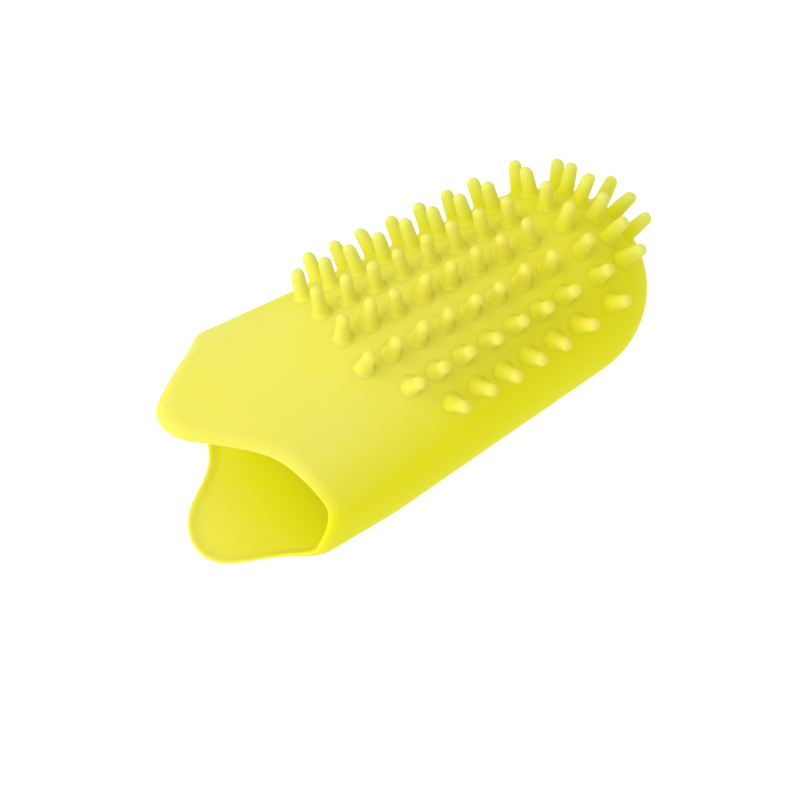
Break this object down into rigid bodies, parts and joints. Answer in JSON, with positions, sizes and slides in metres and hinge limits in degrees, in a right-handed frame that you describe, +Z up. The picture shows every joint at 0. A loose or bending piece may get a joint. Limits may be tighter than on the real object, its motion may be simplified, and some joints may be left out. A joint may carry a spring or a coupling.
{
  "type": "pet toothbrush",
  "caption": "Soft silicone finger sleeve with a closed domed tip, a lipped open mouth, and rows of short round-ended bristles along its top, for brushing a pet's teeth.",
  "frame": {"origin": "the point on the sleeve's straight underside, below the mouth between the two side notches", "axes": "+X along the underside towards the domed tip, +Z up to the bristles, +Y to the side"},
  "size_m": [0.0551, 0.0264, 0.0244],
  "materials": {
    "silicone_sleeve": "soft matte translucent silicone",
    "silicone_bristle": "soft matte translucent silicone"
  },
  "bodies": {
    "sleeve": {"finger_sleeve": "silicone_sleeve", "tip_bristles": "silicone_bristle"},
    "row_a": {"bristle_row_a": "silicone_bristle"},
    "row_b": {"bristle_row_b": "silicone_bristle"},
    "row_c": {"bristle_row_c": "silicone_bristle"},
    "row_d": {"bristle_row_d": "silicone_bristle"},
    "row_e": {"bristle_row_e": "silicone_bristle"},
    "row_f": {"bristle_row_f": "silicone_bristle"},
    "row_g": {"bristle_row_g": "silicone_bristle"}
  },
  "joints": [
    {"name": "row_a_bend", "type": "hinge", "parent": "sleeve", "child": "row_a", "pos_m": [0.01468, -0.01041, 0.01634], "axis": [0.9915, 0.0678, -0.1106], "range_deg": [-25, 25], "stiffness_Nm_per_rad": 0.00126},
    {"name": "row_b_bend", "type": "hinge", "parent": "sleeve", "child": "row_b", "pos_m": [0.01176, -0.00771, 0.01922], "axis": [0.9907, 0.0494, -0.1267], "range_deg": [-25, 25], "stiffness_Nm_per_rad": 0.00147},
    {"name": "row_c_bend", "type": "hinge", "parent": "sleeve", "child": "row_c", "pos_m": [0.00879, -0.00413, 0.02126], "axis": [0.9902, 0.026, -0.137], "range_deg": [-25, 25], "stiffness_Nm_per_rad": 0.00168},
    {"name": "row_d_bend", "type": "hinge", "parent": "sleeve", "child": "row_d", "pos_m": [0.00883, 0, 0.02182], "axis": [0.9901, 0, -0.1406], "range_deg": [-25, 25], "stiffness_Nm_per_rad": 0.00168},
    {"name": "row_e_bend", "type": "hinge", "parent": "sleeve", "child": "row_e", "pos_m": [0.00879, 0.00413, 0.02126], "axis": [0.9902, -0.026, -0.137], "range_deg": [-25, 25], "stiffness_Nm_per_rad": 0.00168},
    {"name": "row_f_bend", "type": "hinge", "parent": "sleeve", "child": "row_f", "pos_m": [0.00867, 0.00787, 0.01961], "axis": [0.9907, -0.0494, -0.1267], "range_deg": [-25, 25], "stiffness_Nm_per_rad": 0.00168},
    {"name": "row_g_bend", "type": "hinge", "parent": "sleeve", "child": "row_g", "pos_m": [0.01159, 0.01062, 0.01669], "axis": [0.9915, -0.0678, -0.1106], "range_deg": [-25, 25], "stiffness_Nm_per_rad": 0.00147}
  ]
}
